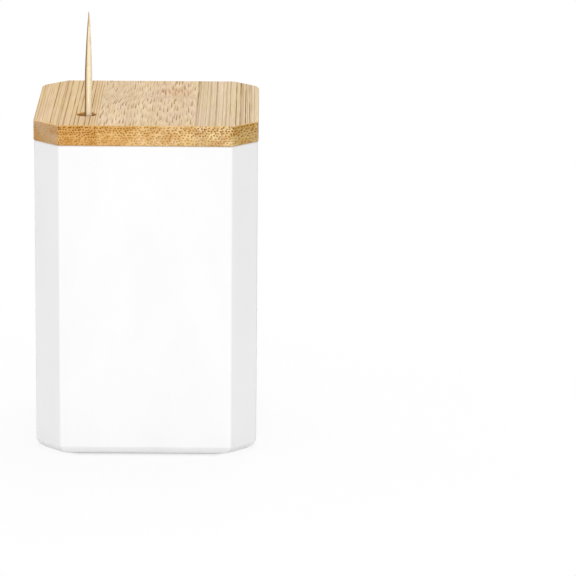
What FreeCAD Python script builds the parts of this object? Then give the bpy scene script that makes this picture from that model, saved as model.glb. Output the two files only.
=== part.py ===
"""Toothpick dispenser: an octagonal cup with a lift-off bamboo lid and a corner dispensing hole.

Millimetres, +Z up, front face towards -Y. The origin is the centre of the flat base.
Each sub-part is written to parts/NODE.step as one solid, or as a group of separate solids
where the same small piece is repeated.
"""
import FreeCAD
import Part
import math
import os

from FreeCAD import Placement, Rotation, Vector

# ---- lid board ------------------------------------------------------------------------
LID_WIDTH = 56.0              # across the flats, the same both ways
LID_THICKNESS = 5.2
LID_CORNER = 6.4              # leg of each corner facet, along a side
LID_EDGE_RADIUS = 1.2         # upright edges, between sides and corner facets
LID_RIM_RADIUS = 0.3          # eased top and bottom rims
RIGHT_STRIP_WIDTH = 16.0      # the board is glued up from three strips that run front to back

# ---- dispensing hole ------------------------------------------------------------------
HOLE_DIAMETER = 5.0
HOLE_FROM_LEFT = 13.0         # lid's left side to the hole's centre
HOLE_FROM_FRONT = 13.6        # lid's front side to the hole's centre
HOLE_EASE = 0.25              # chamfer at the hole's top rim
HOLE_TO_SEAM = 0.5            # hole's edge to the left glue line, so that one strip holds it all
FUNNEL_DIAMETER = 9.0         # lead-in cone under the lid, at its wide end
FUNNEL_HEIGHT = 2.5

# ---- toothpicks -----------------------------------------------------------------------
TOOTHPICK_LENGTH = 65.0
TOOTHPICK_DIAMETER = 1.8
TOOTHPICK_TAPER = 15.0        # length of each pointed end
TOOTHPICK_TIP_RADIUS = 0.16
TAPER_STEPS = 3               # cones that make up each pointed end
LENGTH_SCATTER = 0.6          # the shortest toothpick is this much under the full length
LENGTH_STEPS = 4              # different lengths found in the load
PICK_GAP = 0.2                # between neighbouring toothpicks
RANKS_IN_FRONT = 6            # ranks between the cup's front wall and the dispensed toothpick
RANKS_BEHIND = 6
LEAN_RIGHT_DEG = 0.75         # the load leans slightly to the right ...
LEAN_FORWARD_DEG = 0.5        # ... and towards the front wall
PROTRUSION = 26.0             # dispensed toothpick's tip above the lid
HOLE_OFFSET_RIGHT = 0.35      # dispensed toothpick's axis, from the hole's centre

# ---- cup ------------------------------------------------------------------------------
LID_OVERHANG = 0.2            # lid past the cup, on each side
CUP_WALL = 2.0
CUP_FLOOR = 2.0
CUP_EDGE_RADIUS = 0.6         # upright edges outside
CAVITY_EDGE_RADIUS = 1.6      # upright edges inside
CAVITY_FLOOR_RADIUS = 1.0     # between the inner walls and the floor
RIM_EASE = 0.25               # cup's top rim, both edges
BASE_BEVEL = 2.2              # 45 degree bevel round the base
HEADROOM = 6.8                # from the toothpicks' upper tips to the plug

# ---- plug and seal under the lid ------------------------------------------------------
PLUG_DEPTH = 6.0
PLUG_CLEARANCE = 0.35         # plug to the cup's inner wall, on each side
PLUG_LEAD_IN = 0.6            # chamfer at the plug's lower edge
GROOVE_DEPTH = 1.2
GROOVE_HEIGHT = 2.0
GROOVE_BELOW_LID = 1.6        # lid's underside to the groove's upper wall
SEAL_CLEARANCE = 0.12         # seal's lip to the cup's inner wall, on each side
SEAL_PLAY = 0.05              # above and below the seal in its groove
SEAL_LIP_RADIUS = 0.6
WALL_CLEARANCE = 0.25         # toothpicks to the cup's inner wall
STAND_GAP = 0.05              # toothpicks' lower tips above the floor

# ---- worked out from the sizes above --------------------------------------------------
FACET_SHORTENING = 2.0 - math.sqrt(2.0)  # change of a facet's leg for each mm of parallel offset
TOOTHPICK_RADIUS = TOOTHPICK_DIAMETER / 2
CUP_WIDTH = LID_WIDTH - 2 * LID_OVERHANG
CUP_CORNER = LID_CORNER - FACET_SHORTENING * LID_OVERHANG
CUP_HEIGHT = CUP_FLOOR + TOOTHPICK_LENGTH + HEADROOM + PLUG_DEPTH
CAVITY_WIDTH = CUP_WIDTH - 2 * CUP_WALL
CAVITY_CORNER = CUP_CORNER - FACET_SHORTENING * CUP_WALL
LID_TOP = CUP_HEIGHT + LID_THICKNESS
PLUG_BOTTOM = CUP_HEIGHT - PLUG_DEPTH
HOLE_X = HOLE_FROM_LEFT - LID_WIDTH / 2
HOLE_Y = HOLE_FROM_FRONT - LID_WIDTH / 2
LEFT_SEAM = HOLE_X + HOLE_DIAMETER / 2 + HOLE_TO_SEAM
RIGHT_SEAM = LID_WIDTH / 2 - RIGHT_STRIP_WIDTH
PICK_PITCH = TOOTHPICK_DIAMETER + PICK_GAP
RANK_PITCH = PICK_PITCH * math.sqrt(3.0) / 2
LEAN = Vector(math.tan(math.radians(LEAN_RIGHT_DEG)), -math.tan(math.radians(LEAN_FORWARD_DEG)), 1.0)
MARGIN = 1.0                  # how far cutting tools run past the faces they cut


def rounded_octagon(width, corner, radius, height):
    """Closed wire at z = height: a square with cut corners, each of its eight edges rounded."""
    half = width / 2
    inner = half - corner
    points = [
        Vector(half, -inner, height), Vector(half, inner, height),
        Vector(inner, half, height), Vector(-inner, half, height),
        Vector(-half, inner, height), Vector(-half, -inner, height),
        Vector(-inner, -half, height), Vector(inner, -half, height),
    ]
    cut_back = radius * math.tan(math.radians(22.5))
    bulge = radius * (1 / math.cos(math.radians(22.5)) - 1)
    edges = []
    last_end = None
    first_start = None
    for here, before, after in zip(points, points[-1:] + points[:-1], points[1:] + points[:1]):
        to_before = (before - here).normalize()
        to_after = (after - here).normalize()
        start = here + to_before * cut_back
        end = here + to_after * cut_back
        middle = here + (to_before + to_after).normalize() * bulge
        if last_end is None:
            first_start = start
        else:
            edges.append(Part.LineSegment(last_end, start).toShape())
        edges.append(Part.Arc(start, middle, end).toShape())
        last_end = end
    edges.append(Part.LineSegment(last_end, first_start).toShape())
    return Part.Wire(edges)


def octagon_prism(width, corner, radius, low, high):
    """Upright solid with a rounded-octagon section, from z = low to z = high."""
    face = Part.Face(rounded_octagon(width, corner, radius, low))
    return face.extrude(Vector(0, 0, high - low))


def inset_octagon(width, corner, radius, inset, height):
    """The rounded octagon moved inwards by inset all round, at z = height."""
    return rounded_octagon(width - 2 * inset, corner - FACET_SHORTENING * inset, radius, height)


def edges_at(solid, height):
    """The solid's edges that lie flat at z = height."""
    return [
        edge for edge in solid.Edges
        if abs(edge.BoundBox.ZMin - height) < 1e-6 and abs(edge.BoundBox.ZMax - height) < 1e-6
    ]


def hole_tool(low, high):
    """Cylinder that cuts the dispensing hole between two heights."""
    return Part.makeCylinder(HOLE_DIAMETER / 2, high - low, Vector(HOLE_X, HOLE_Y, low))


def make_cup():
    """Moulded cup: octagonal outside with a bevelled base, open at the top."""
    outline = [
        inset_octagon(CUP_WIDTH, CUP_CORNER, CUP_EDGE_RADIUS, BASE_BEVEL, 0),
        rounded_octagon(CUP_WIDTH, CUP_CORNER, CUP_EDGE_RADIUS, BASE_BEVEL),
        rounded_octagon(CUP_WIDTH, CUP_CORNER, CUP_EDGE_RADIUS, CUP_HEIGHT),
    ]
    outside = Part.makeLoft(outline, True, True)
    cavity = octagon_prism(
        CAVITY_WIDTH, CAVITY_CORNER, CAVITY_EDGE_RADIUS, CUP_FLOOR, CUP_HEIGHT + MARGIN
    )
    cavity = cavity.makeFillet(CAVITY_FLOOR_RADIUS, edges_at(cavity, CUP_FLOOR))
    cup = outside.cut(cavity)
    return cup.makeChamfer(RIM_EASE, edges_at(cup, CUP_HEIGHT))


def make_lid_board():
    """Whole lid board with eased rims and the dispensing hole, before it is parted into strips."""
    board = octagon_prism(LID_WIDTH, LID_CORNER, LID_EDGE_RADIUS, CUP_HEIGHT, LID_TOP)
    rims = edges_at(board, LID_TOP) + edges_at(board, CUP_HEIGHT)
    board = board.makeFillet(LID_RIM_RADIUS, rims)
    board = board.cut(hole_tool(CUP_HEIGHT - MARGIN, LID_TOP + MARGIN))
    ease = Part.makeCone(
        HOLE_DIAMETER / 2, HOLE_DIAMETER / 2 + HOLE_EASE + MARGIN, HOLE_EASE + MARGIN,
        Vector(HOLE_X, HOLE_Y, LID_TOP - HOLE_EASE)
    )
    return board.cut(ease)


def strip_of(board, left, right):
    """The part of the lid board between two glue lines."""
    side = LID_WIDTH + 2 * MARGIN
    box = Part.makeBox(
        right - left, side, LID_THICKNESS + 2 * MARGIN,
        Vector(left, -side / 2, CUP_HEIGHT - MARGIN)
    )
    return board.common(box)


def make_plug():
    """Plug glued under the lid board: it centres the lid in the cup and carries the seal."""
    width = CAVITY_WIDTH - 2 * PLUG_CLEARANCE
    corner = CAVITY_CORNER - FACET_SHORTENING * PLUG_CLEARANCE
    plug = octagon_prism(width, corner, CAVITY_EDGE_RADIUS, PLUG_BOTTOM, CUP_HEIGHT)
    plug = plug.makeChamfer(PLUG_LEAD_IN, edges_at(plug, PLUG_BOTTOM))
    groove_top = CUP_HEIGHT - GROOVE_BELOW_LID
    groove_bottom = groove_top - GROOVE_HEIGHT
    outer = octagon_prism(
        CAVITY_WIDTH, CAVITY_CORNER, CAVITY_EDGE_RADIUS, groove_bottom, groove_top
    )
    plug = plug.cut(outer.cut(groove_core(groove_bottom, groove_top)))
    funnel = Part.makeCone(
        FUNNEL_DIAMETER / 2, HOLE_DIAMETER / 2, FUNNEL_HEIGHT, Vector(HOLE_X, HOLE_Y, PLUG_BOTTOM)
    )
    return plug.cut(hole_tool(PLUG_BOTTOM - MARGIN, CUP_HEIGHT + MARGIN)).cut(funnel)


def groove_core(low, high):
    """What is left of the plug inside the seal's groove, between two heights."""
    depth = PLUG_CLEARANCE + GROOVE_DEPTH
    return octagon_prism(
        CAVITY_WIDTH - 2 * depth, CAVITY_CORNER - FACET_SHORTENING * depth,
        CAVITY_EDGE_RADIUS, low, high
    )


def make_seal():
    """Soft ring in the plug's groove, with a rounded lip that stops just short of the cup."""
    high = CUP_HEIGHT - GROOVE_BELOW_LID - SEAL_PLAY
    low = high - GROOVE_HEIGHT + 2 * SEAL_PLAY
    ring = octagon_prism(
        CAVITY_WIDTH - 2 * SEAL_CLEARANCE, CAVITY_CORNER - FACET_SHORTENING * SEAL_CLEARANCE,
        CAVITY_EDGE_RADIUS, low, high
    )
    ring = ring.makeFillet(SEAL_LIP_RADIUS, edges_at(ring, low) + edges_at(ring, high))
    return ring.cut(groove_core(low - MARGIN, high + MARGIN))


def make_toothpick(length):
    """Round toothpick along +Z from the origin, drawn out to a slender point at both ends.

    Each end follows a long arc that runs smoothly into the straight middle, in a few
    conical steps.
    """
    rise = TOOTHPICK_RADIUS - TOOTHPICK_TIP_RADIUS
    sweep = (rise ** 2 + TOOTHPICK_TAPER ** 2) / (2 * rise)
    lower_end = []
    for step in range(TAPER_STEPS + 1):
        height = TOOTHPICK_TAPER * step / TAPER_STEPS
        drop = sweep - math.sqrt(sweep ** 2 - (TOOTHPICK_TAPER - height) ** 2)
        lower_end.append(Vector(TOOTHPICK_RADIUS - drop, 0, height))
    upper_end = [Vector(point.x, 0, length - point.z) for point in reversed(lower_end)]
    ends = [Vector(0, 0, 0), Vector(0, 0, length)]
    profile = Part.makePolygon([ends[0]] + lower_end + upper_end + [ends[1], ends[0]])
    return Part.Face(profile).revolve(Vector(0, 0, 0), Vector(0, 0, 1), 360)


def axis_point(rank, place, height):
    """Where a toothpick's leaning axis crosses z = height.

    Rank 0, place 0 is the dispensed toothpick, which stands in the hole.
    """
    stagger = 0.5 * (rank % 2)
    start = Vector(HOLE_X + HOLE_OFFSET_RIGHT, HOLE_Y, LID_TOP)
    start += Vector((place + stagger) * PICK_PITCH, rank * RANK_PITCH, 0)
    return start + LEAN * (height - LID_TOP)


def clears_walls(point):
    """True when a toothpick with its axis through the point keeps off the cup's inner walls."""
    offset = TOOTHPICK_RADIUS + WALL_CLEARANCE
    side_reach = CAVITY_WIDTH / 2 - offset
    corner_reach = CAVITY_WIDTH - CAVITY_CORNER - math.sqrt(2.0) * offset
    inside_sides = max(abs(point.x), abs(point.y)) <= side_reach
    return inside_sides and abs(point.x) + abs(point.y) <= corner_reach


def stand(toothpick, rank, place, height):
    """Copy of a toothpick on its leaning axis, with its lower tip at z = height."""
    turn = Rotation(Vector(0, 0, 1), LEAN)
    copy = toothpick.copy()
    copy.Placement = Placement(axis_point(rank, place, height), turn)
    return copy


def make_rank(rank, lengths):
    """One rank of loaded toothpicks, side by side across the cup, as separate solids."""
    most = math.ceil(CAVITY_WIDTH / PICK_PITCH)
    floor = CUP_FLOOR + STAND_GAP
    solids = []
    for place in range(-most, most + 1):
        foot = axis_point(rank, place, floor)
        top = axis_point(rank, place, floor + TOOTHPICK_LENGTH)
        vacant = rank == 0 and place == 0
        if clears_walls(foot) and clears_walls(top) and not vacant:
            pick = lengths[(7 * rank + 5 * place) % len(lengths)]
            solids.append(stand(pick, rank, place, floor))
    return Part.makeCompound(solids)


def build():
    """All nodes of the dispenser, by name."""
    board = make_lid_board()
    edge = LID_WIDTH / 2 + MARGIN
    nodes = {
        "cup": make_cup(),
        "lid_strip_left": strip_of(board, -edge, LEFT_SEAM),
        "lid_strip_centre": strip_of(board, LEFT_SEAM, RIGHT_SEAM),
        "lid_strip_right": strip_of(board, RIGHT_SEAM, edge),
        "lid_plug": make_plug(),
        "lid_seal_ring": make_seal(),
    }
    step = LENGTH_SCATTER / (LENGTH_STEPS - 1)
    lengths = [make_toothpick(TOOTHPICK_LENGTH - step * index) for index in range(LENGTH_STEPS)]
    nodes["dispensed_toothpick"] = stand(
        lengths[0], 0, 0, LID_TOP + PROTRUSION - TOOTHPICK_LENGTH
    )
    for number, rank in enumerate(range(-RANKS_IN_FRONT, RANKS_BEHIND + 1), start=1):
        nodes[f"toothpick_rank_{number:02d}"] = make_rank(rank, lengths)
    return nodes


os.makedirs("parts", exist_ok=True)
for name, shape in build().items():
    shape.exportStep(f"parts/{name}.step")
    print(f"{name}: {len(shape.Solids)} solid(s), {shape.Volume:.1f} mm3, valid {shape.isValid()}")
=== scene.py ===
"""Dresses the toothpick dispenser: moulded cup, laminated bamboo lid, seal, plug and toothpicks.

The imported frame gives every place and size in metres. Sizes that the frame doesn't state are
written here in millimetres, as fields of the class that uses them.
"""

import logging
import math
import random
from dataclasses import dataclass
from enum import Enum

import bmesh
import bpy
import numpy as np
from mathutils import Matrix, Vector, noise


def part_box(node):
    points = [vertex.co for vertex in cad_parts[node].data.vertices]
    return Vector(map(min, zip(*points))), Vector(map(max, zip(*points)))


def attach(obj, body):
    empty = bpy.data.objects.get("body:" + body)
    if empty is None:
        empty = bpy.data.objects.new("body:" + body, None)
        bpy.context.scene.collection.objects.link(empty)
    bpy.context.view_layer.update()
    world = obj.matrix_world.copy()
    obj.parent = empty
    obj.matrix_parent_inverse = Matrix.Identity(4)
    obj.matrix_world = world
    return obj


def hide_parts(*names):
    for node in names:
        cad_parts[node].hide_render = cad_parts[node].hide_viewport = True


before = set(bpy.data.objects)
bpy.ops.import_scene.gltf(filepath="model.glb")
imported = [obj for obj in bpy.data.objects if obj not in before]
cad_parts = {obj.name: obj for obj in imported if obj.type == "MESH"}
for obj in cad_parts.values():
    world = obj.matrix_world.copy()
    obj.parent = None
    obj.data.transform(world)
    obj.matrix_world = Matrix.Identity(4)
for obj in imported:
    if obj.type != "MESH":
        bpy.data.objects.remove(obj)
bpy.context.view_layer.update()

MM = 0.001
UP = Vector((0.0, 0.0, 1.0))
WHITE = (1.0, 1.0, 1.0, 1.0)
ROUNDED_ANGLE = math.radians(30.0)  # edges that turn by more are rounded
SMOOTH_ANGLE = math.radians(44.0)  # edges that turn by less are shaded smooth
HOLE_CENTRE = (-15.0, -14.4)  # millimetres from the lid's middle, to the right and to the back
HOLE_RADIUS = 2.5
SHADE_SIDE = Vector((-0.96, -0.28))  # the side of the standing toothpick painted darker, as painted shade; the opposite side is painted lighter, as painted light
SHADE_STRIP_MIDDLE = Vector((-0.806, -0.591))  # the middle of its darkest strip: painted shade along its left edge
log = logging.getLogger("dispenser")

Geometry = bmesh.types.BMesh
Edge = bmesh.types.BMEdge
Piece = bpy.types.Object
Finish = bpy.types.Material
Socket = bpy.types.NodeSocket
Value = Socket | float | tuple  # what a socket can be given
Triple = tuple[float, float, float]
Colour = tuple[float, float, float, float]


def linear(code: str) -> Colour:
    """Turns a screen colour into the linear values that shaders use.

    Args:
        code: six hexadecimal digits: red, green and blue.

    Returns:
        Red, green, blue and an alpha of 1.
    """
    channels = [int(code[start:start + 2], 16) / 255 for start in (0, 2, 4)]
    red, green, blue = [c / 12.92 if c <= 0.04045 else ((c + 0.055) / 1.055) ** 2.4 for c in channels]
    return (red, green, blue, 1.0)


class Graph:
    """Builds the nodes of a material or a world. Methods return the socket that carries their result."""

    def __init__(self, owner: Finish | bpy.types.World) -> None:
        """Starts with an output and nothing else.

        Args:
            owner: the material or world.
        """
        owner.use_nodes = True
        self.owner = owner
        self.tree = owner.node_tree
        self.tree.nodes.clear()
        kind = "World" if isinstance(owner, bpy.types.World) else "Material"
        self.output = self.tree.nodes.new("ShaderNodeOutput" + kind)

    def feed(self, socket: Socket, value: Value) -> None:
        """Links a socket to another socket, or sets its value.

        Args:
            socket: the input.
            value: what it gets.
        """
        if isinstance(value, Socket):
            self.tree.links.new(value, socket)
        else:
            socket.default_value = value

    def add(self, kind: str, settings: dict | None = None, inputs: dict | None = None) -> bpy.types.Node:
        """Adds a node.

        Args:
            kind: the node's type, without its ShaderNode prefix.
            settings: the node's own properties.
            inputs: a value or socket for each input, by its name or number.

        Returns:
            The node.
        """
        node = self.tree.nodes.new("ShaderNode" + kind)
        for key, value in (settings or {}).items():
            setattr(node, key, value)
        for key, value in (inputs or {}).items():
            self.feed(node.inputs[key], value)
        return node

    def math(self, operation: str, *values: Value) -> Socket:
        """Returns a Math node's result for up to three values."""
        return self.add("Math", {"operation": operation}, dict(enumerate(values))).outputs[0]

    def times(self, product: Value, *factors: Value) -> Value:
        """Multiplies values.

        Args:
            product: the first value.
            factors: the others.

        Returns:
            Their product.
        """
        for factor in factors:
            product = self.math("MULTIPLY", product, factor)
        return product

    def vector(self, operation: str, *values: Value) -> Socket:
        """Returns a Vector Math node's vector."""
        return self.add("VectorMath", {"operation": operation}, dict(enumerate(values))).outputs[0]

    def split(self, vector: Socket) -> tuple[Socket, Socket, Socket]:
        """Returns a vector's three values."""
        return tuple(self.add("SeparateXYZ", None, {0: vector}).outputs)

    def join(self, x: Value, y: Value = 0.0, z: Value = 0.0) -> Socket:
        """Returns a vector of three values."""
        return self.add("CombineXYZ", None, {0: x, 1: y, 2: z}).outputs[0]

    def length(self, across: Value, along: Value) -> Socket:
        """Returns how long a step across and along is."""
        step = self.join(across, along)
        return self.add("VectorMath", {"operation": "LENGTH"}, {0: step}).outputs["Value"]

    def ease(self, value: Value, low: float, high: float, start: float = 0.0, end: float = 1.0) -> Socket:
        """Returns a value that goes smoothly from start to end while the input goes from low to high."""
        inputs = {"Value": value, "From Min": low, "From Max": high, "To Min": start, "To Max": end}
        return self.add("MapRange", {"interpolation_type": "SMOOTHSTEP"}, inputs).outputs["Result"]

    def blend(self, factor: Value, first: Value, second: Value, mode: str = "MIX") -> Socket:
        """Returns the colour that a Mix node makes of two."""
        settings = {"data_type": "RGBA", "blend_type": mode}
        return self.add("Mix", settings, {0: factor, 6: first, 7: second}).outputs[2]

    def noise(self, place: Value, pitch: Triple, detail: float) -> bpy.types.Node:
        """Adds smooth noise whose blotches have that pitch along each axis, with finer layers of detail."""
        scaled = self.vector("DIVIDE", place, pitch)
        return self.add("TexNoise", None, {"Vector": scaled, "Scale": 1.0, "Detail": detail})

    def fog(self, place: Value, pitch: Triple, detail: float = 2.0) -> Socket:
        """Returns smooth noise as one value, around 0.5."""
        return self.noise(place, pitch, detail).outputs[0]

    def haze(self, place: Value, pitch: Triple, detail: float = 2.0) -> Socket:
        """Returns smooth noise as three separate values, each around 0.5."""
        return self.noise(place, pitch, detail).outputs[1]

    def stray(self, place: Value, pitch: Triple, detail: float, reach: Triple) -> Socket:
        """Returns a smooth random step, of up to about half the reach each way."""
        centred = self.vector("SUBTRACT", self.haze(place, pitch, detail), (0.5, 0.5, 0.5))
        return self.vector("MULTIPLY", centred, reach)

    def rows(self, across: Value, pitch: float, disorder: float) -> tuple[Socket, Socket]:
        """Finds the nearest of many parallel lines.

        Args:
            across: where the lines are looked for, in millimetres.
            pitch: how far apart they are.
            disorder: 0 for even gaps, 1 for the most uneven.

        Returns:
            The distance to the line, in pitches, and its own random colour.
        """
        inputs = {"W": self.math("DIVIDE", across, pitch), "Scale": 1.0, "Randomness": disorder}
        node = self.add("TexVoronoi", {"voronoi_dimensions": "1D"}, inputs)
        return node.outputs["Distance"], node.outputs["Color"]

    def cells(self, place: Value, pitch: Triple, disorder: float) -> tuple[Socket, Socket, Socket]:
        """Finds the nearest of many points, in the plane of X and Y.

        Args:
            place: where the points are looked for, in millimetres.
            pitch: how far apart they are along each axis.
            disorder: 0 for a regular grid, 1 for none.

        Returns:
            The distance to the point, its own random colour and the way from it, all in pitches.
        """
        scaled = self.vector("DIVIDE", place, pitch)
        inputs = {"Vector": scaled, "Scale": 1.0, "Randomness": disorder}
        node = self.add("TexVoronoi", {"voronoi_dimensions": "2D"}, inputs)
        way = self.vector("SUBTRACT", scaled, node.outputs["Position"])
        return node.outputs["Distance"], node.outputs["Color"], way

    def millimetres(self) -> Socket:
        """Returns the place on the piece, in millimetres from the middle of the base."""
        place = self.add("TexCoord").outputs["Object"]
        return self.vector("MULTIPLY", place, (1 / MM, 1 / MM, 1 / MM))

    def seen(self) -> Socket:
        """Tells the camera's rays from the rays that only carry light.

        Returns:
            1 for what the camera sees, straight, mirrored or through a clear piece, and otherwise 0.
        """
        path = self.add("LightPath").outputs
        ray = self.math("MAXIMUM", path["Is Camera Ray"], path["Is Glossy Ray"])
        return self.math("MAXIMUM", ray, path["Is Transmission Ray"])

    def relief(self, height: Value, strength: float, depth: float) -> Socket:
        """Returns the normal of a surface with that relief, whose depth is in millimetres."""
        inputs = {"Strength": strength, "Distance": depth * MM, "Height": height}
        return self.add("Bump", None, inputs).outputs[0]

    def end(self, shader: Socket) -> Finish | bpy.types.World:
        """Ends the graph with a shader and returns its material or world."""
        self.tree.links.new(shader, self.output.inputs[0])
        return self.owner

    def surface(self, inputs: dict) -> Finish:
        """Ends the material with a Principled shader and returns it."""
        return self.end(self.add("BsdfPrincipled", None, inputs).outputs[0])


class Cut(Enum):
    """How a bamboo strip was sawn from the cane."""

    QUARTER = "quarter"  # fibre bundles show as lines that run the length of the strip
    FLAT = "flat"  # bundles dive in and out of the surface and show as short dashes


@dataclass(frozen=True)
class CaneNode:
    """The cane's node: a band across the strip, with a reddish patch behind it. Millimetres."""

    place: float = 7.0  # behind the lid's middle
    waver: float = 3.0  # how far the band strays forwards and back
    patch_right: float = 7.0  # middle of the patch, to the right of the lid's middle
    patch_behind: float = 6.5  # and behind the node
    patch_width: float = 5.5  # half of it
    patch_length: float = 8.0  # half of it
    lean: float = -3.5  # how far the bundles are moved behind the node at its left
    lean_across: tuple[float, float] = (-12.0, 4.0)  # where they lean most, and where no longer
    lean_along: tuple[float, float] = (-2.0, 19.0)  # where the lean starts, and where it is full
    pale: str = "CDB08E"
    fleck: str = "8F6B49"
    red: str = "F2DDD0"

    def band(self, g: Graph, place: Socket) -> Socket:
        """Finds the node.

        Args:
            g: the material's graph.
            place: the place on the piece.

        Returns:
            1 on the node and 0 away from it.
        """
        x, y, _ = g.split(place)
        waver = g.fog(g.join(x), (5.0, 1.0, 1.0))
        middle = g.math("MULTIPLY_ADD", waver, self.waver, self.place - self.waver / 2)
        return g.ease(g.math("ABSOLUTE", g.math("SUBTRACT", y, middle)), 0.7, 3.0, 1.0, 0.0)

    def stain(self, g: Graph, place: Socket) -> Socket:
        """Finds the reddish patch.

        Args:
            g: the material's graph.
            place: the place on the piece.

        Returns:
            How reddish the wood is, from 0 to 1, with ragged edges.
        """
        x, y, _ = g.split(place)
        across = g.math("DIVIDE", g.math("SUBTRACT", x, self.patch_right), self.patch_width)
        along = g.math("DIVIDE", g.math("SUBTRACT", y, self.place + self.patch_behind), self.patch_length)
        ragged = g.fog(place, (1.6, 6.0, 1.6))
        return g.ease(g.math("MULTIPLY_ADD", ragged, 0.9, g.length(across, along)), 0.75, 1.5, 1.0, 0.0)

    def bend(self, g: Graph, place: Socket, band: Value) -> Socket:
        """Bends the fibre bundles round the node.

        Args:
            g: the material's graph.
            place: the place on the piece.
            band: 1 on the node.

        Returns:
            How far the bundles are moved: they lean behind the node at its left and swirl on it.
        """
        x, y, _ = g.split(place)
        lean = g.times(g.ease(x, *self.lean_across, self.lean, 0.0), g.ease(y, *self.lean_along))
        swirl = g.stray(place, (1.3, 1.6, 1.3), 1.0, (0.9, 4.0, 0.9))
        return g.vector("ADD", g.join(lean), g.vector("MULTIPLY", swirl, g.join(band, band, band)))

    def mark(self, g: Graph, colour: Socket, place: Socket, band: Value, stain: Value) -> Socket:
        """Marks the wood.

        Args:
            g: the material's graph.
            colour: the wood's colour.
            place: the place on the piece.
            band: 1 on the node.
            stain: 1 in the reddish patch.

        Returns:
            The colour with the node's pale band and dark flecks, and with the patch.
        """
        swirled = g.vector("MULTIPLY", g.haze(place, (0.7, 0.9, 0.7), 1.0), (0.7, 0.9, 0.0))
        distance, tone, _ = g.cells(g.vector("ADD", place, swirled), (0.52, 0.74, 1.0), 1.0)
        flecks = g.times(g.ease(distance, 0.16, 0.40, 1.0, 0.0), g.ease(g.split(tone)[1], 0.45, 0.85))
        colour = g.blend(g.times(band, 0.25), colour, linear(self.pale))
        colour = g.blend(g.times(flecks, band, 0.6), colour, linear(self.fleck))
        return g.blend(g.times(stain, 0.4), colour, linear(self.red), "MULTIPLY")


@dataclass(frozen=True)
class Dashes:
    """Fibre bundles that dive in and out of the surface, in rows. Millimetres."""

    pitch: float  # from one row to the next
    length: float  # from one dash's start to the next one's
    strength: float  # how dark the darkest dash is
    disorder: float = 0.85  # of the rows
    row_numbers: float = 300.0  # keeps the rows' dashes apart from one another

    def draw(self, g: Graph, across: Value, along: Value, stain: Value) -> Socket:
        """Draws the dashes: each starts bluntly at the front and tapers to the back.

        Args:
            g: the material's graph.
            across: the place across the cane.
            along: the place along it.
            stain: 1 in the reddish patch, where dashes are broader and darker.

        Returns:
            How dark the dashes are, from 0 to the strength.
        """
        distance, colour = g.rows(across, self.pitch, self.disorder)
        row = g.times(g.split(colour)[1], self.row_numbers)
        drift = g.fog(g.join(along, row), (self.length, 1.0, 1.0), 1.0)
        turns = g.math("MULTIPLY_ADD", along, 1.0 / self.length, row)
        turns = g.math("MULTIPLY_ADD", drift, 0.7, turns)
        run = g.math("FRACT", turns)
        number = g.join(g.math("FLOOR", turns), row)
        tone = g.add("TexWhiteNoise", {"noise_dimensions": "2D"}, {"Vector": number}).outputs["Value"]
        tone = g.math("MAXIMUM", g.ease(tone, 0.0, 1.0, 0.3, 1.0), g.times(stain, 0.7))
        tone = g.times(tone, self.strength, g.ease(run, 0.1, 0.8, 1.0, 0.7))
        taper = g.math("ADD", g.ease(run, 0.0, 0.07, 0.4, 0.0), g.ease(run, 0.30, 1.0, 0.0, 0.4))
        edge = g.math("ADD", distance, g.math("MULTIPLY_ADD", stain, -0.04, taper))
        return g.times(g.ease(edge, 0.08, 0.36, 1.0, 0.0), tone)


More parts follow.
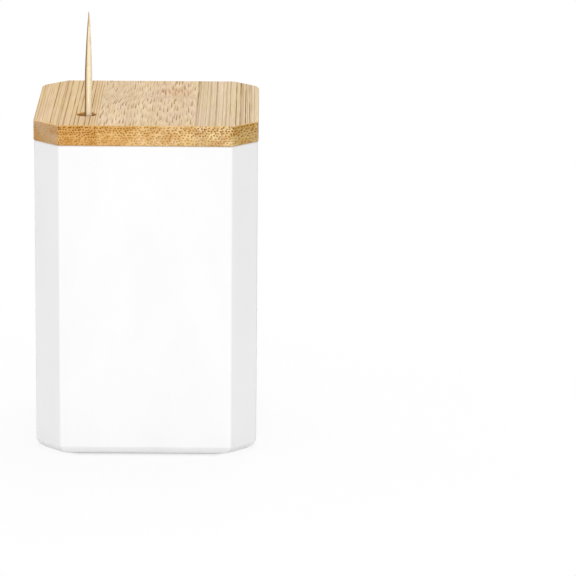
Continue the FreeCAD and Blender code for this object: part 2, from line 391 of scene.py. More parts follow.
@dataclass(frozen=True)
class BambooFinish:
    """Sanded, lightly oiled bamboo: dark fibre bundles run front to back through pale pith.

    Sizes and places are in millimetres.
    """

    name: str
    cut: Cut
    shift: Triple  # which part of the cane the strip comes from
    front: float  # the board's front side
    low: float  # the piece's underside
    high: float  # its top
    face: str = "EBD1AD"
    line: str = "A67C4C"
    stained_line: str = "945A1C"
    end: str = "E8BA7C"
    end_right: str = "E8BA7C"  # the end grain's pith at the strip's right side
    right: float = 12.0  # about where that side is
    golden: str = "C0832A"  # clouds in the end grain
    dot: str = "85501F"
    facet: str = "D8AE72"
    facet_dots: float = 1.0  # how clearly the corner facet shows its dots
    tints: tuple[str, str] = ("FFFDF0", "FFFAF7")
    hole_wall: tuple[str, str] = ("F2D2A2", "D99F5A")  # the hole's wall: paler deep down, as painted light on its shaded lower part, and browner near its rim
    rim_highlight: str = "FCCF88"  # painted highlight where the rounded upper rim catches light
    shaded: str = "7A5A3A"  # painted shade along the lowest edge
    bundle: float = 0.60  # pitch of the fibre bundles
    bundle_row: float = 0.87  # from one staggered row of them to the next, in pitches
    bold_lines: float = 1.2  # their pitch
    faint_lines: float = 0.432
    bold_dashes: Dashes = Dashes(0.66, 11.0, 0.72)
    fine_dashes: Dashes = Dashes(0.33, 8.8, 0.38)
    slant: float = 1.1  # how far the bundles shift sideways for each millimetre of height
    wander: float = 0.4  # how far a bundle strays sideways
    soak: float = 5.0  # how far the end grain's tone reaches back from the front
    hole_wall_change: tuple[float, float] = (1.1, 0.5)  # how far below the top the browner rim colour starts, and is full
    shade: tuple[float, float] = (0.12, 0.40)  # how far above the underside the painted shade is full, and ends
    node: CaneNode | None = None

    def build(self) -> Finish:
        """Makes the material.

        Returns:
            The material.
        """
        g = Graph(bpy.data.materials.new(self.name))
        place = g.millimetres()
        nx, ny, nz = g.split(g.add("TexCoord").outputs["Normal"])
        band = self.node.band(g, place) if self.node else 0.0
        stain = self.node.stain(g, place) if self.node else 0.0
        cane = self.warped(g, place, band)
        fibre = g.fog(place, (0.16, 9.0, 0.16), 3.0)
        cloud = g.fog(g.vector("ADD", place, self.shift), (3.2, 70.0, 3.2))
        lines = self.dashes(g, cane, band, stain) if self.cut is Cut.FLAT else self.lines(g, cane)

        along = self.streaked(g, self.striped(g, lines, stain), fibre, cloud)
        if self.node:
            along = self.node.mark(g, along, place, band, stain)
        soaked = g.ease(g.split(place)[1], self.front, self.front + self.soak, 0.15, 0.0)
        along = g.blend(soaked, along, linear(self.end))
        facet = g.ease(g.math("ABSOLUTE", g.times(nx, ny)), 0.30, 0.46)
        speckle = g.fog(place, (0.22, 0.8, 0.22))
        across = self.streaked(g, self.dotted(g, place, cane, facet), speckle, cloud)

        end_grain = g.ease(g.math("ABSOLUTE", ny), 0.35, 0.72)
        relief = g.math("SUBTRACT", g.times(fibre, 0.5), lines)
        rough = g.ease(end_grain, 0.0, 1.0, 0.5, 0.72)
        return g.surface({
            "Base Color": self.hole_and_painted_edges(g, g.blend(end_grain, along, across), place, nz),
            "Roughness": g.math("ADD", rough, g.times(fibre, 0.1)),
            "Specular IOR Level": 0.0,
            "Normal": g.relief(relief, 0.35, 0.04),
        })

    def warped(self, g: Graph, place: Socket, band: Value) -> Socket:
        """Finds the place in the cane.

        Args:
            g: the material's graph.
            place: the place on the piece.
            band: 1 on the node.

        Returns:
            The place in a cane of straight bundles, which stray a little here and bend round the node.
        """
        cane = g.vector("ADD", place, self.shift)
        sway = g.stray(cane, (10.0, 110.0, 8.0), 2.0, (self.wander, 0.0, self.wander))
        cane = g.vector("ADD", cane, sway)
        return g.vector("ADD", cane, self.node.bend(g, place, band)) if self.node else cane

    def striped(self, g: Graph, lines: Value, stain: Value) -> Socket:
        """Returns the colour along the grain: dark bundles in pale pith."""
        dark = g.blend(stain, linear(self.line), linear(self.stained_line))
        return g.blend(lines, linear(self.face), dark)

    def dotted(self, g: Graph, place: Socket, cane: Socket, facet: Value) -> Socket:
        """Colours the sawn ends, where each bundle shows as a dot.

        Args:
            g: the material's graph.
            place: the place on the piece.
            cane: the place in the cane.
            facet: 1 on the corner facets.

        Returns:
            The colour, without its streaks.
        """
        x, _, z = g.split(place)
        distance, tone = self.bundles(g, cane)
        height = g.ease(z, self.low, self.high - 0.4)
        dots = g.times(
            g.ease(distance, 0.19, 0.45, 1.0, 0.0), g.ease(height, 0.1, 0.9, 0.65, 1.0),
            g.ease(tone, 0.0, 1.0, 0.6, 1.0), g.ease(facet, 0.0, 1.0, 1.0, self.facet_dots),
        )
        change = g.ease(x, self.right - 22.0, self.right - 6.0)
        pith = g.blend(change, linear(self.end), linear(self.end_right))
        pith = g.blend(facet, pith, linear(self.facet))
        clouds = g.ease(g.fog(place, (3.5, 3.5, 2.2)), 0.38, 0.66, 0.0, 0.45)
        return g.blend(dots, g.blend(clouds, pith, linear(self.golden)), linear(self.dot))

    def bundles(self, g: Graph, cane: Socket) -> tuple[Socket, Socket]:
        """Finds the nearest fibre bundle in a staggered grid.

        Args:
            g: the material's graph.
            cane: the place in the cane.

        Returns:
            The distance to it, in pitches, and its own random tone.
        """
        x, _, z = g.split(cane)
        staggered = g.join(g.math("MULTIPLY_ADD", z, 0.5 / self.bundle_row, x), z)
        _, colour, way = g.cells(staggered, (self.bundle, self.bundle * self.bundle_row, 1.0), 0.62)
        across, along, _ = g.split(way)
        across = g.math("MULTIPLY_ADD", along, -0.5, across)
        return g.length(across, along), g.split(colour)[0]

    def lines(self, g: Graph, cane: Socket) -> Socket:
        """Draws long lines: bold ones, each of its own strength and breadth, over faint ones.

        Args:
            g: the material's graph.
            cane: the place in the cane.

        Returns:
            How dark the lines are, from 0 to 1.
        """
        x, _, z = g.split(cane)
        across = g.math("MULTIPLY_ADD", z, self.slant, x)
        distance, colour = g.rows(across, self.bold_lines, 1.0)
        tone, breadth, _ = g.split(colour)
        edge = g.math("SUBTRACT", distance, g.ease(breadth, 0.5, 1.0, 0.0, 0.05))
        fading = g.ease(g.fog(cane, (0.9, 16.0, 0.9), 1.0), 0.35, 0.6, 0.5, 1.0)
        bold = g.times(g.ease(edge, 0.02, 0.14, 1.0, 0.0), g.ease(tone, 0.1, 0.9, 0.2, 1.0), fading)
        distance, colour = g.rows(across, self.faint_lines, 1.0)
        strength = g.ease(g.split(colour)[1], 0.2, 1.0, 0.0, 0.45)
        faint = g.times(g.ease(distance, 0.08, 0.40, 1.0, 0.0), strength)
        return g.math("MAXIMUM", bold, faint)

    def dashes(self, g: Graph, cane: Socket, band: Value, stain: Value) -> Socket:
        """Draws short dashes: bold ones over fine ones, and few on the node.

        Args:
            g: the material's graph.
            cane: the place in the cane.
            band: 1 on the node.
            stain: 1 in the reddish patch.

        Returns:
            How dark the dashes are, from 0 to 1.
        """
        x, along, z = g.split(cane)
        lean = g.split(g.haze(cane, (9.0, 18.0, 9.0), 1.0))[0]
        across = g.math("MULTIPLY_ADD", lean, 0.7, g.math("MULTIPLY_ADD", z, self.slant, x))
        bold = self.bold_dashes.draw(g, across, along, stain)
        fine = self.fine_dashes.draw(g, across, along, stain)
        return g.times(g.math("MAXIMUM", bold, fine), g.math("MULTIPLY_ADD", band, -0.85, 1.0))

    def streaked(self, g: Graph, colour: Socket, fibre: Socket, cloud: Socket) -> Socket:
        """Adds streaks to the wood.

        Args:
            g: the material's graph.
            colour: the wood's colour.
            fibre: fine noise along the grain.
            cloud: broad noise along it.

        Returns:
            The colour with streaks, whose dark ones are warmer, and with a slight change of tint.
        """
        fine = g.ease(fibre, 0.25, 0.75, 0.90, 1.06)
        red = g.times(fine, g.ease(cloud, 0.25, 0.75, 0.94, 1.04))
        green = g.math("MULTIPLY_ADD", red, 1.25, -0.25)
        blue = g.math("MULTIPLY_ADD", red, 1.8, -0.8)
        colour = g.blend(1.0, colour, g.join(red, green, blue), "MULTIPLY")
        tint = g.fog(g.millimetres(), (4.0, 26.0, 4.0), 1.0)
        tinted = g.blend(g.ease(tint, 0.3, 0.7), linear(self.tints[0]), linear(self.tints[1]))
        return g.blend(1.0, colour, tinted, "MULTIPLY")

    def hole_and_painted_edges(self, g: Graph, colour: Socket, place: Socket, rise: Socket) -> Socket:
        """Adds the hole's brown wall, paler deep down as painted light, a painted highlight on the upper
        rim and painted shade along the lower edge.

        Args:
            g: the material's graph.
            colour: the wood's colour.
            place: the place on the piece.
            rise: how much the surface looks up, from -1 to 1.

        Returns:
            The colour with the hole's brown wall, a painted highlight on the upper rim and painted shade
            along the lower edge.
        """
        x, y, z = g.split(place)
        steep = g.ease(g.math("ABSOLUTE", rise), 0.2, 0.6, 1.0, 0.0)
        # the hole's wall: paler deep down, painted light where the wall lies in shade
        deep, high = linear(self.hole_wall[0]), linear(self.hole_wall[1])
        brown = g.blend(g.ease(z, self.high - self.hole_wall_change[0], self.high - self.hole_wall_change[1]), deep, high)
        colour = g.blend(g.times(self.bore(g, x, y), steep), colour, brown)
        # painted highlight: the rounded upper rim is lightened as if it catches light
        rim = g.times(g.ease(rise, 0.15, 0.5), g.ease(rise, 0.8, 0.97, 1.0, 0.0))
        colour = g.blend(g.times(rim, 0.35), colour, linear(self.rim_highlight))
        # painted shade: the lowest edge is darkened where less light reaches under the board
        foot = g.ease(z, self.low + self.shade[0], self.low + self.shade[1], 0.32, 0.0)
        return g.blend(foot, colour, linear(self.shaded))

    def bore(self, g: Graph, x: Socket, y: Socket) -> Socket:
        """Finds the hole's wall, which is coloured brown.

        Args:
            g: the material's graph.
            x: the place to the right.
            y: the place to the back.

        Returns:
            How brown it is, which is most on the hole's own left wall.
        """
        across = g.math("SUBTRACT", x, HOLE_CENTRE[0])
        along = g.math("SUBTRACT", y, HOLE_CENTRE[1])
        near = g.ease(g.length(across, along), HOLE_RADIUS + 0.02, HOLE_RADIUS + 0.28, 0.7, 0.0)
        return g.times(near, g.ease(across, 0.0, 1.8, 1.0, 0.3))


@dataclass(frozen=True)
class CupPlastic:
    """White moulded plastic with a fine satin skin."""

    name: str = "cup_plastic"
    colour: str = "F6F6F6"
    shade: str = "F4F4F4"

    def build(self) -> Finish:
        """Makes the material.

        Returns:
            The material.
        """
        g = Graph(bpy.data.materials.new(self.name))
        place = g.millimetres()
        flow = g.fog(place, (14.0, 14.0, 30.0))
        skin = g.fog(place, (0.35, 0.35, 0.35), 3.0)
        return g.surface({
            "Base Color": g.blend(g.ease(flow, 0.3, 0.7), linear(self.colour), linear(self.shade)),
            "Roughness": g.ease(skin, 0.2, 0.8, 0.40, 0.50),
            "Specular IOR Level": 0.4,
            "Normal": g.relief(skin, 0.12, 0.02),
        })


@dataclass(frozen=True)
class SealSilicone:
    """Soft translucent silicone, slightly dusty."""

    name: str = "seal_silicone"
    colour: str = "EFEFEA"
    dust: str = "E4E3DC"

    def build(self) -> Finish:
        """Makes the material.

        Returns:
            The material.
        """
        g = Graph(bpy.data.materials.new(self.name))
        bloom = g.fog(g.millimetres(), (2.5, 2.5, 1.0), 3.0)
        return g.surface({
            "Base Color": g.blend(g.ease(bloom, 0.35, 0.75), linear(self.colour), linear(self.dust)),
            "Roughness": g.ease(bloom, 0.2, 0.8, 0.32, 0.48),
            "Subsurface Weight": 0.25,
            "Subsurface Scale": 1.5 * MM,
            "Normal": g.relief(bloom, 0.1, 0.02),
        })


@dataclass(frozen=True)
class ToothpickWood:
    """Pale turned bamboo with long fibres.

    The attribute tone goes from -1, cream, painted light on the standing toothpick's lit side, by 0, pale,
    and 1, tan, to 2, a darker brown, painted shade along its left edge.
    """

    name: str = "toothpick_wood"
    # lit_cream is painted light on the standing toothpick's lit side; shade_brown is painted shade along
    # its left edge and the darkest of its upper tip
    lit_cream: str = "FFF3DC"
    pale: str = "FAEBCE"
    tan: str = "E6CDA0"
    fibre: str = "B99460"
    shade_brown: str = "7A5A1E"

    def build(self) -> Finish:
        """Makes the material.

        Returns:
            The material.
        """
        g = Graph(bpy.data.materials.new(self.name))
        straight = self.upright(g)
        strand = g.fog(straight, (0.22, 0.22, 16.0), 3.0)
        cloud = g.fog(straight, (0.9, 0.9, 22.0), 1.0)
        tone = g.add("Attribute", {"attribute_name": "tone"}).outputs["Fac"]
        colour = g.blend(g.ease(tone, -1.0, 0.0), linear(self.lit_cream), linear(self.pale))
        colour = g.blend(g.ease(tone, 0.0, 1.0), colour, linear(self.tan))
        colour = g.blend(g.ease(tone, 1.0, 2.0), colour, linear(self.shade_brown))
        colour = g.blend(g.ease(cloud, 0.45, 0.8, 0.0, 0.2), colour, linear(self.tan))
        colour = g.blend(g.ease(strand, 0.52, 0.78, 0.0, 0.55), colour, linear(self.fibre))
        return g.surface({
            "Base Color": colour,
            "Roughness": g.ease(strand, 0.2, 0.8, 0.40, 0.55),
            "Specular IOR Level": 0.5,
            "Subsurface Weight": 0.3,
            "Subsurface Radius": (1.0, 0.75, 0.5),
            "Subsurface Scale": 1.2 * MM,
            "Normal": g.relief(strand, 0.4, 0.03),
        })

    def upright(self, g: Graph) -> Socket:
        """Straightens the wood's pattern along the standing toothpick.

        Args:
            g: the material's graph.

        Returns:
            The place, moved sideways with its height, so that the leaning toothpick's axis is upright.
        """
        axis = standing_tip() - standing_foot()
        x, y, z = g.split(g.millimetres())
        right = g.math("MULTIPLY_ADD", z, -axis.x / axis.z, x)
        return g.join(right, g.math("MULTIPLY_ADD", z, -axis.y / axis.z, y), z)


@dataclass(frozen=True)
class StudioPaper:
    """Pale paper under and behind the object: white to the eye, and it keeps a soft shadow."""

    name: str = "studio_paper"
    paper: tuple[str, str] = ("F6F6F6", "F2F2F2")
    white: str = "FBFBFB"
    under: float = 0.18  # share of the white that doesn't depend on the lamps, under the object's edge
    beside: float = 0.88  # the same share beside the object; far away it is 1
    edge: tuple[float, float] = (25.2, 28.2)  # millimetres from the middle, from under to beside
    distant: tuple[float, float] = (36.0, 120.0)  # and from beside to far away
    facet_inset: float = 4.6  # how much nearer a facet is than the corner of the square, millimetres

    def build(self) -> Finish:
        """Makes the material.

        Returns:
            The material.
        """
        g = Graph(bpy.data.materials.new(self.name))
        place = g.millimetres()
        tooth = g.ease(g.fog(place, (40.0, 40.0, 40.0)), 0.3, 0.7)
        paper = g.blend(tooth, linear(self.paper[0]), linear(self.paper[1]))
        matt = g.add("BsdfDiffuse", None, {"Color": paper}).outputs[0]
        lit = g.add("BsdfDiffuse", None, {"Color": linear(self.white)}).outputs[0]
        white = g.add("Emission", None, {"Color": WHITE, "Strength": 1.0}).outputs[0]
        x, y, _ = g.split(g.vector("ABSOLUTE", place))
        facet = g.math("MULTIPLY_ADD", g.math("ADD", x, y), math.sqrt(0.5), -self.facet_inset)
        away = g.math("MAXIMUM", g.math("MAXIMUM", x, y), facet)
        glow = g.ease(away, *self.edge, self.under, self.beside)
        glow = g.math("ADD", glow, g.ease(away, *self.distant, 0.0, 1.0 - self.beside))
        shown = g.add("MixShader", None, {0: glow, 1: lit, 2: white}).outputs[0]
        return g.end(g.add("MixShader", None, {0: g.seen(), 1: matt, 2: shown}).outputs[0])


def upright_edges(bm: Geometry) -> list[Edge]:
    """Returns the edges that run straight up."""
    return [e for e in bm.edges if (e.verts[0].co - e.verts[1].co).xy.length < 1e-4]


def level_edges(bm: Geometry, height: float) -> list[Edge]:
    """Returns the edges that lie flat at a height."""
    return [e for e in bm.edges if all(abs(v.co.z - height) < 1e-4 for v in e.verts)]


def bevel(bm: Geometry, edges: list[Edge], offset: float, segments: int) -> None:
    """Cuts or rounds edges.

    Args:
        bm: the mesh.
        edges: the edges to work on.
        offset: how far the cut starts from each edge, along the faces beside it.
        segments: 1 for a flat cut, more for a round.
    """
    bmesh.ops.bevel(
        bm, geom=edges, offset=offset, offset_type="OFFSET", segments=segments, profile=0.5,
        affect="EDGES", clamp_overlap=False, material=-1,
    )


def round_offset(radius: float) -> float:
    """Returns where a round of that radius starts on a corner between a side and a facet."""
    return radius * math.tan(math.radians(22.5))


def cut_square(width: float, corner: float, low: float, high: float) -> Geometry:
    """Makes an upright block whose section is a square with cut corners.

    Args:
        width: across the flats.
        corner: how much each corner takes off a side.
        low: the block's underside.
        high: its top.

    Returns:
        The block, in millimetres.
    """
    bm = bmesh.new()
    bmesh.ops.create_cube(bm, size=1.0)
    bmesh.ops.scale(bm, vec=(width, width, high - low), verts=bm.verts)
    bmesh.ops.translate(bm, vec=(0.0, 0.0, (low + high) / 2), verts=bm.verts)
    bevel(bm, upright_edges(bm), corner, 1)
    return bm


def cap(bm: Geometry, upwards: bool) -> bmesh.types.BMFace:
    """Returns the largest level face that looks up, or down."""
    sign = 1.0 if upwards else -1.0
    return max(bm.faces, key=lambda face: face.calc_area() * face.normal.z * sign)


def piece_of(bm: Geometry, name: str, finish: Finish) -> Piece:
    """Turns a mesh in millimetres into a shown piece in metres.

    Args:
        bm: the mesh, which is used up.
        name: the piece's name.
        finish: its material.

    Returns:
        The piece, with its object at the origin.
    """
    bmesh.ops.scale(bm, vec=(MM, MM, MM), verts=bm.verts)
    mesh = bpy.data.meshes.new(name)
    bm.to_mesh(mesh)
    bm.free()
    mesh.shade_smooth()
    mesh.materials.append(finish)
    piece = bpy.data.objects.new(name, mesh)
    bpy.context.scene.collection.objects.link(piece)
    return piece


def settle(piece: Piece, body: str, node: str) -> Piece:
    """Says what a piece belongs to, and logs it.

    Args:
        piece: the piece.
        body: the body that it rides on.
        node: the node that it stands for.

    Returns:
        The piece.
    """
    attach(piece, body)
    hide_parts(node)
    log.info("%s on %s, for %s: %d faces", piece.name, body, node, len(piece.data.polygons))
    return piece


def crisp(piece: Piece) -> None:
    """Keeps a piece's flats flat beside its rounded edges.

    Args:
        piece: the piece.
    """
    piece.data.set_sharp_from_angle(angle=SMOOTH_ANGLE)
    modifier = piece.modifiers.new("flats", "WEIGHTED_NORMAL")
    modifier.keep_sharp = True
    modifier.weight = 100


def node_box(node: str) -> tuple[Vector, Vector]:
    """Returns a node's lowest and highest corners, in millimetres."""
    low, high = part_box(node)
    return low / MM, high / MM


@dataclass
class Cup:
    """Moulded cup: an octagonal shell with a bevelled base, open at the top. Millimetres."""

    corner: float = 6.28
    wall: float = 2.0
    floor: float = 2.0
    base_bevel: float = 2.2
    inner_radius: float = 1.6
    floor_radius: float = 1.0
    edge_round: float = 0.28
    slack: float = 0.01  # how far a point may be from where it belongs

    def build(self, finish: Finish) -> Piece:
        """Makes the shell and sets it on the root body.

        Args:
            finish: its material.

        Returns:
            The shell.
        """
        low, high = node_box("cup")
        width = high.x - low.x
        bm = cut_square(width, self.corner, low.z, high.z)
        self.hollow(bm, high.z)
        bevel(bm, level_edges(bm, low.z), self.base_bevel, 1)
        bevel(bm, [e for e in bm.edges if self.is_outside(e, width)], self.edge_round, 3)
        piece = piece_of(bm, "cup_shell", finish)
        crisp(piece)
        return settle(piece, "root", "cup")

    def hollow(self, bm: Geometry, high: float) -> None:
        """Sinks the cavity into the block's top and rounds it inside.

        Args:
            bm: the block.
            high: the height of its top.
        """
        top = cap(bm, True)
        bmesh.ops.inset_region(bm, faces=[top], thickness=self.wall, use_even_offset=True)
        sunk = bmesh.ops.extrude_face_region(bm, geom=[top])
        moved = [v for v in sunk["geom"] if isinstance(v, bmesh.types.BMVert)]
        bmesh.ops.delete(bm, geom=[top], context="FACES_ONLY")
        bmesh.ops.translate(bm, vec=(0.0, 0.0, self.floor - high), verts=moved)
        inner = [e for e in upright_edges(bm) if min(v.co.z for v in e.verts) > self.floor - self.slack]
        bevel(bm, inner, round_offset(self.inner_radius), 4)
        bevel(bm, level_edges(bm, self.floor), self.floor_radius, 4)

    def is_outside(self, edge: Edge, width: float) -> bool:
        """Tells whether an edge is a sharp one of the cup's outside or rim.

        Args:
            edge: the edge.
            width: the cup's width across the flats.

        Returns:
            True for an edge to be rounded.
        """
        for vert in edge.verts:
            across, along = abs(vert.co.x), abs(vert.co.y)
            depth = width / 2 - max(across, along, (across + along + self.corner) / 2)
            inside = vert.co.z > self.floor - self.slack and depth > self.wall + self.slack
            if inside or depth > self.base_bevel + self.slack:
                return False
        return edge.calc_face_angle(0.0) > ROUNDED_ANGLE


@dataclass
class Lid:
    """Lid board glued up from three bamboo strips, with its hole. Millimetres."""

    corner: float = 6.4
    edge_radius: float = 1.2
    back_radius: float = 4.5  # of the two upright edges between the sides and the rear facets
    rim_radius: float = 0.3
    hole_ease: float = 0.25
    hole_sides: int = 64
    slack: float = 0.1  # how far a side may be from the board's own width

    def build(self, finishes: dict[str, Finish]) -> list[Piece]:
        """Makes the strips and sets them on the lid.

        Args:
            finishes: each strip's material, by its node.

        Returns:
            The strips.
        """
        pieces = []
        for node, finish in finishes.items():
            low, high = node_box(node)
            bm = self.strip(low, high)
            if node == "lid_strip_left":
                self.drill(bm, low.z, high.z)
            piece = piece_of(bm, node.replace("lid_strip", "lid_board"), finish)
            crisp(piece)
            pieces.append(settle(piece, "lid", node))
        return pieces

    def strip(self, low: Vector, high: Vector) -> Geometry:
        """Makes the part of the board between two glue lines.

        Args:
            low: the strip's lowest corner.
            high: its highest corner.

        Returns:
            The strip, in millimetres.
        """
        width = high.y - low.y
        bm = cut_square(width, self.corner, low.z, high.z)
        outer = [e for e in upright_edges(bm) if abs(e.verts[0].co.x) > width / 2 - self.slack]
        bevel(bm, [e for e in outer if e.verts[0].co.y > 0], round_offset(self.back_radius), 8)
        others = [e for e in upright_edges(bm) if e.calc_face_angle(0.0) > ROUNDED_ANGLE]
        bevel(bm, others, round_offset(self.edge_radius), 5)
        bevel(bm, level_edges(bm, low.z) + level_edges(bm, high.z), self.rim_radius, 3)
        for seam, keeps_right in ((low.x, True), (high.x, False)):
            if abs(seam) < width / 2 - self.slack:
                self.part(bm, seam, keeps_right)
        return bm

    def part(self, bm: Geometry, seam: float, keeps_right: bool) -> None:
        """Saws the board at a glue line and closes the cut.

        Args:
            bm: the board.
            seam: how far to the right the glue line is.
            keeps_right: whether the right side is kept, and not the left one.
        """
        cut = bmesh.ops.bisect_plane(
            bm, geom=bm.verts[:] + bm.edges[:] + bm.faces[:], plane_co=(seam, 0.0, 0.0),
            plane_no=(1.0, 0.0, 0.0), clear_inner=keeps_right, clear_outer=not keeps_right,
        )
        rim = [e for e in cut["geom_cut"] if isinstance(e, Edge)]
        bmesh.ops.edgeloop_fill(bm, edges=rim)
        bmesh.ops.recalc_face_normals(bm, faces=bm.faces)

    def drill(self, bm: Geometry, low: float, high: float) -> None:
        """Opens the dispensing hole, with an eased upper rim.

        Args:
            bm: the strip.
            low: the height of its underside.
            high: the height of its top.
        """
        caps = [cap(bm, True), cap(bm, False)]
        borders = [list(face.edges) for face in caps]
        bmesh.ops.delete(bm, geom=caps, context="FACES_ONLY")
        rings = []
        for height, radius in (
            (high, HOLE_RADIUS + self.hole_ease), (high - self.hole_ease, HOLE_RADIUS), (low, HOLE_RADIUS),
        ):
            place = Matrix.Translation((*HOLE_CENTRE, height))
            made = bmesh.ops.create_circle(bm, segments=self.hole_sides, radius=radius, matrix=place)
            rings.append(list({e for v in made["verts"] for e in v.link_edges}))
        for border, ring in ((borders[0], rings[0]), (borders[1], rings[2])):
            bmesh.ops.triangle_fill(bm, use_beauty=True, edges=border + ring)
        bmesh.ops.bridge_loops(bm, edges=rings[0] + rings[1])
        bmesh.ops.bridge_loops(bm, edges=rings[1] + rings[2])
        bmesh.ops.recalc_face_normals(bm, faces=bm.faces)


@dataclass
class Toothpick:
    """Round toothpick, drawn out to a slender point at both ends. Millimetres."""

    radius: float = 0.9
    tip_radius: float = 0.14
    taper: float = 16.0
    fullness: float = 1.5  # 1 for a straight taper, more for one that fills out sooner
    sides: int = 7
    taper_steps: int = 2
    middle_steps: int = 1
    unevenness: float = 0.0
    waves_across: float = 1.4  # of the unevenness, for each millimetre
    waves_along: float = 0.11

    def make(self, length: float) -> Geometry:
        """Turns a toothpick, upright from the origin.

        Args:
            length: from tip to tip.

        Returns:
            The toothpick, in millimetres.
        """
        bm = bmesh.new()
        profile = [Vector((0.0, 0.0, 0.0))] + self.outline(length) + [Vector((0.0, 0.0, length))]
        points = [bm.verts.new(point) for point in profile]
        edges = [bm.edges.new(pair) for pair in zip(points, points[1:])]
        bmesh.ops.spin(
            bm, geom=points + edges, cent=(0.0, 0.0, 0.0), axis=UP, angle=math.tau,
            steps=self.sides, use_merge=True, use_duplicate=False,
        )
        bmesh.ops.remove_doubles(bm, verts=bm.verts, dist=1e-4)
        bmesh.ops.recalc_face_normals(bm, faces=bm.faces)
        for vert in bm.verts:
            x, y, z = vert.co
            grain = Vector((x * self.waves_across, y * self.waves_across, z * self.waves_along))
            vert.co += noise.noise_vector(grain) * Vector((1.0, 1.0, 0.0)) * self.unevenness
        return bm

    def outline(self, length: float) -> list[Vector]:
        """Works out the half section.

        Args:
            length: from tip to tip.

        Returns:
            Its points, from the lower tip's edge to the upper one's.
        """
        lower = []
        for step in range(self.taper_steps + 1):
            share = step / self.taper_steps
            narrowing = (self.radius - self.tip_radius) * (1.0 - share) ** self.fullness
            lower.append(Vector((self.radius - narrowing, 0.0, self.taper * share)))
        straight = length - 2 * self.taper
        middle = [
            Vector((self.radius, 0.0, self.taper + straight * step / self.middle_steps))
            for step in range(1, self.middle_steps)
        ]
        upper = [Vector((point.x, 0.0, length - point.z)) for point in reversed(lower)]
        return lower + middle + upper


TIP_LENGTH = 3.0  # how much of a toothpick's end is looked at, millimetres
TIP_GAP = 0.3  # the least room between two of them
TIP_FLAT = 0.02  # how far from its very end a tip's flat may reach


def tips(node: str, upper: bool) -> list[Vector]:
    """Finds the upper or lower tips of the toothpicks in a node.

    Args:
        node: the node's name.
        upper: whether to find the upper tips.

    Returns:
        The middle of each tip, from left to right, in millimetres.
    """
    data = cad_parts[node].data
    places = np.empty(len(data.vertices) * 3)
    data.vertices.foreach_get("co", places)
    places = places.reshape(-1, 3) / MM
    away = places[:, 2].max() - places[:, 2] if upper else places[:, 2] - places[:, 2].min()
    near = places[away < TIP_LENGTH]
    near = near[np.argsort(near[:, 0])]
    gaps = np.flatnonzero(np.diff(near[:, 0]) > TIP_GAP) + 1
    found = []
    for group in np.split(near, gaps):
        extreme = group[:, 2].max() if upper else group[:, 2].min()
        tip = group[np.abs(group[:, 2] - extreme) < TIP_FLAT]
        low, high = tip.min(axis=0), tip.max(axis=0)
        found.append(Vector(((low[0] + high[0]) / 2, (low[1] + high[1]) / 2, extreme)))
    return found


def standing_foot() -> Vector:
    """Returns the lower tip of the toothpick in the hole."""
    return tips("dispensed_toothpick", False)[0]


def standing_tip() -> Vector:
    """Returns the upper tip of the toothpick in the hole."""
    return tips("dispensed_toothpick", True)[0]


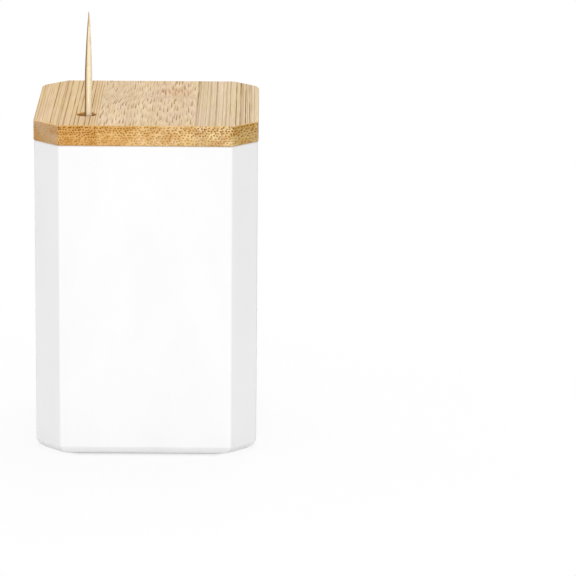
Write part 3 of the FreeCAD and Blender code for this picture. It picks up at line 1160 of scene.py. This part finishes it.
@dataclass
class Load:
    """Toothpicks standing in the cup, in ranks, and the one that stands in the hole."""

    seed: int = 21  # of the load's tones
    whittling: int = 8  # seed of the standing toothpick's unevenness
    paleness: float = 1.5  # more for fewer tan toothpicks in the load
    tan: float = 0.8  # tone of the standing toothpick's tan side, painted shade
    lit_cream: float = 1.5  # how far its other side goes towards cream, painted light
    shade_strip_edge: float = 0.857  # cosine of the angle between the middle and the edge of its darkest strip, painted shade
    shade_strip_rise: float = 10.0  # how fast the strip darkens from there
    tip_stain: float = 5.0  # length of its darker upper tip, millimetres

    def build(self, finish: Finish) -> list[Piece]:
        """Makes every rank and the standing toothpick.

        Args:
            finish: their material.

        Returns:
            The pieces.
        """
        draw = random.Random(self.seed)
        ranks = sorted(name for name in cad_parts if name.startswith("toothpick_rank"))
        pieces = [self.rank(node, finish, draw) for node in ranks]
        pieces.append(self.standing(finish))
        return pieces

    def rank(self, node: str, finish: Finish, draw: random.Random) -> Piece:
        """Makes one rank of the load, each toothpick with a tone of its own.

        Args:
            node: the rank's node.
            finish: its material.
            draw: what the tones are drawn from.

        Returns:
            The rank.
        """
        bm = bmesh.new()
        tone = bm.verts.layers.float.new("tone")
        for foot, tip in zip(tips(node, False), tips(node, True)):
            before = set(bm.verts)
            self.add(bm, Toothpick(), foot, tip)
            shade = draw.random() ** self.paleness
            for vert in bm.verts:
                if vert not in before:
                    vert[tone] = shade
        return settle(piece_of(bm, node.replace("rank", "row"), finish), "root", node)

    def add(self, bm: Geometry, pattern: Toothpick, foot: Vector, tip: Vector) -> None:
        """Adds a toothpick to a mesh.

        Args:
            bm: the mesh.
            pattern: the kind of toothpick.
            foot: its lower tip.
            tip: its upper tip.
        """
        axis = tip - foot
        single = pattern.make(axis.length)
        turn = UP.rotation_difference(axis.normalized()).to_matrix().to_4x4()
        bmesh.ops.transform(single, matrix=Matrix.Translation(foot) @ turn, verts=single.verts)
        mesh = bpy.data.meshes.new("single")
        single.to_mesh(mesh)
        single.free()
        bm.from_mesh(mesh)
        bpy.data.meshes.remove(mesh)

    def standing(self, finish: Finish) -> Piece:
        """Makes the toothpick that stands in the hole, with the unevenness of whittled wood.

        Args:
            finish: its material.

        Returns:
            The toothpick.
        """
        foot = standing_foot()
        tip = standing_tip()
        noise.seed_set(self.whittling)
        bm = bmesh.new()
        self.add(bm, Toothpick(sides=28, taper_steps=16, middle_steps=24, unevenness=0.035), foot, tip)
        # the tone paints shade on the standing toothpick's left side and light on its right side
        tone = bm.verts.layers.float.new("tone")
        for vert in bm.verts:
            middle = foot.lerp(tip, (vert.co.z - foot.z) / (tip.z - foot.z))
            vert[tone] = self.standing_tone((vert.co - middle).xy.normalized(), tip.z - vert.co.z)
        piece = piece_of(bm, "standing_toothpick", finish)
        return settle(piece, "toothpick", "dispensed_toothpick")

    def standing_tone(self, outwards: Vector, below: float) -> float:
        """Works out the tone of the standing toothpick at one place.

        Args:
            outwards: the direction from its axis.
            below: how far below the upper tip.

        Returns:
            The tone, where the strip of painted shade is 2 or more.
        """
        # painted shade on one side and painted light on the other, as if light falls from the right
        side = outwards.dot(SHADE_SIDE)
        skin = max(0.0, outwards.dot(SHADE_STRIP_MIDDLE) - self.shade_strip_edge) * self.shade_strip_rise
        end = max(0.0, 1.0 - below / self.tip_stain)
        return skin + side * (self.tan if side > 0.0 else self.lit_cream) + end


@dataclass(frozen=True)
class Lamp:
    """Square soft lamp that looks at the object. Metres."""

    name: str
    place: Triple
    side: float
    level: float  # brightness of a white surface at the object that faces it squarely

    def build(self) -> None:
        """Hangs the lamp."""
        place = Vector(self.place)
        light = bpy.data.lights.new(self.name, "AREA")
        light.size = self.side
        light.energy = self.level * 4 * math.pi * place.length_squared
        lamp = bpy.data.objects.new(self.name, light)
        lamp.location = place
        lamp.rotation_euler = (-place).to_track_quat("-Z", "Y").to_euler()
        bpy.context.scene.collection.objects.link(lamp)


@dataclass(frozen=True)
class Studio:
    """Floor, daylight and lamps. Metres."""

    floor_side: float = 12.0
    floor_height: float = -0.00005
    sky: float = 0.273
    lamps: tuple[Lamp, ...] = (
        Lamp("front", (-0.05, -2.25, 0.32), 0.6, 0.373),
        Lamp("top", (0.0, 0.1, 1.7), 1.3, 0.45),
        Lamp("rear", (0.5, 1.9, 1.2), 1.2, 0.18),
    )

    def build(self) -> None:
        """Makes the floor and the lights."""
        self.floor()
        self.daylight()
        for lamp in self.lamps:
            lamp.build()

    def floor(self) -> None:
        """Lays the paper under the object."""
        bm = bmesh.new()
        bmesh.ops.create_grid(bm, x_segments=4, y_segments=4, size=self.floor_side / 2)
        mesh = bpy.data.meshes.new("floor")
        bm.to_mesh(mesh)
        bm.free()
        mesh.materials.append(StudioPaper().build())
        mesh.transform(Matrix.Translation((0.0, 0.0, self.floor_height)))
        floor = bpy.data.objects.new("floor", mesh)
        bpy.context.scene.collection.objects.link(floor)

    def daylight(self) -> None:
        """Makes even light from all round, and a white backdrop for the camera and for reflections."""
        world = bpy.data.worlds.new("daylight")
        bpy.context.scene.world = world
        g = Graph(world)
        strength = g.add("MapRange", None, {"Value": g.seen(), "To Min": self.sky}).outputs["Result"]
        g.end(g.add("Background", None, {"Color": WHITE, "Strength": strength}).outputs[0])


@dataclass(frozen=True)
class Viewpoint:
    """Camera in front of the object and a little above it. Metres and degrees."""

    aim: Triple = (0.035757, 0.0, 0.03671)
    distance: float = 1.026546
    turn: float = -0.3864  # from straight ahead to the left
    dip: float = 14.4344  # below level
    roll: float = -0.4638
    lens: float = 250.0  # millimetres
    sensor: float = 36.0
    nearest: float = 0.01
    farthest: float = 40.0

    def build(self) -> None:
        """Makes the camera and gives it to the scene."""
        data = bpy.data.cameras.new("camera")
        data.lens = self.lens
        data.sensor_width = self.sensor
        data.clip_start = self.nearest
        data.clip_end = self.farthest
        camera = bpy.data.objects.new("camera", data)
        heading = Matrix.Rotation(math.radians(self.turn), 4, "Z")
        tilt = Matrix.Rotation(math.radians(-self.dip), 4, "X")
        lean = Matrix.Rotation(math.radians(self.roll), 4, "Y")
        level = Matrix.Rotation(math.radians(90.0), 4, "X")
        pose = heading @ tilt @ lean
        ahead = pose @ Vector((0.0, 1.0, 0.0))
        place = Vector(self.aim) - ahead * self.distance
        camera.matrix_world = Matrix.Translation(place) @ pose @ level
        bpy.context.scene.collection.objects.link(camera)
        bpy.context.scene.camera = camera


def dress_node(node: str, finish: Finish) -> None:
    """Gives a node that keeps its own shape its finish.

    Args:
        node: the node's name.
        finish: its material.
    """
    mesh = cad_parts[node].data
    mesh.materials.clear()
    mesh.materials.append(finish)
    log.info("%s keeps its own shape", node)


def strip_finishes() -> dict[str, Finish]:
    """Makes the finish of each strip of the lid board.

    Returns:
        The materials, by the strip's node.
    """
    low, high = node_box("lid_strip_left")
    board = {"front": low.y, "low": low.z, "high": high.z}
    strips = {
        "lid_strip_left": BambooFinish(
            "bamboo_left", Cut.QUARTER, (3.0, 0.0, 11.0), **board, face="EED5B1", line="98641C",
            end="E8BB84", end_right="E4B270", right=-12.0, dot="7A4400", facet="CFAE88", facet_dots=0.25,
            bundle=0.68,
        ),
        "lid_strip_centre": BambooFinish(
            "bamboo_centre", Cut.FLAT, (0.0, 5.0, 4.0), **board, face="F1DCBF", line="93600C",
            end="EBC084", end_right="F1D1A0", dot="A4700C", bundle=0.74, node=CaneNode(),
        ),
        "lid_strip_right": BambooFinish(
            "bamboo_right", Cut.QUARTER, (40.0, 0.0, 23.0), **board, face="EDDABE", line="8C540A",
            end="EFD0A0", end_right="F1D6A4", right=28.0, dot="8C5404", facet="D7BB80", bundle=0.72,
        ),
    }
    return {node: finish.build() for node, finish in strips.items()}


def plug_finish() -> Finish:
    """Makes the finish of the plug under the board.

    Returns:
        The material.
    """
    front = node_box("lid_strip_left")[0].y
    low, high = node_box("lid_plug")
    return BambooFinish("plug_bamboo", Cut.FLAT, (70.0, 0.0, 37.0), front, low.z, high.z).build()


def main() -> None:
    """Builds the camera, the finishes and every piece, then the studio."""
    logging.basicConfig(level=logging.INFO, format="%(name)s: %(message)s")
    bpy.context.scene.view_settings.view_transform = "Standard"
    Viewpoint().build()
    Cup().build(CupPlastic().build())
    Lid().build(strip_finishes())
    dress_node("lid_plug", plug_finish())
    dress_node("lid_seal_ring", SealSilicone().build())
    Load().build(ToothpickWood().build())
    Studio().build()


if __name__ == "__main__":
    main()
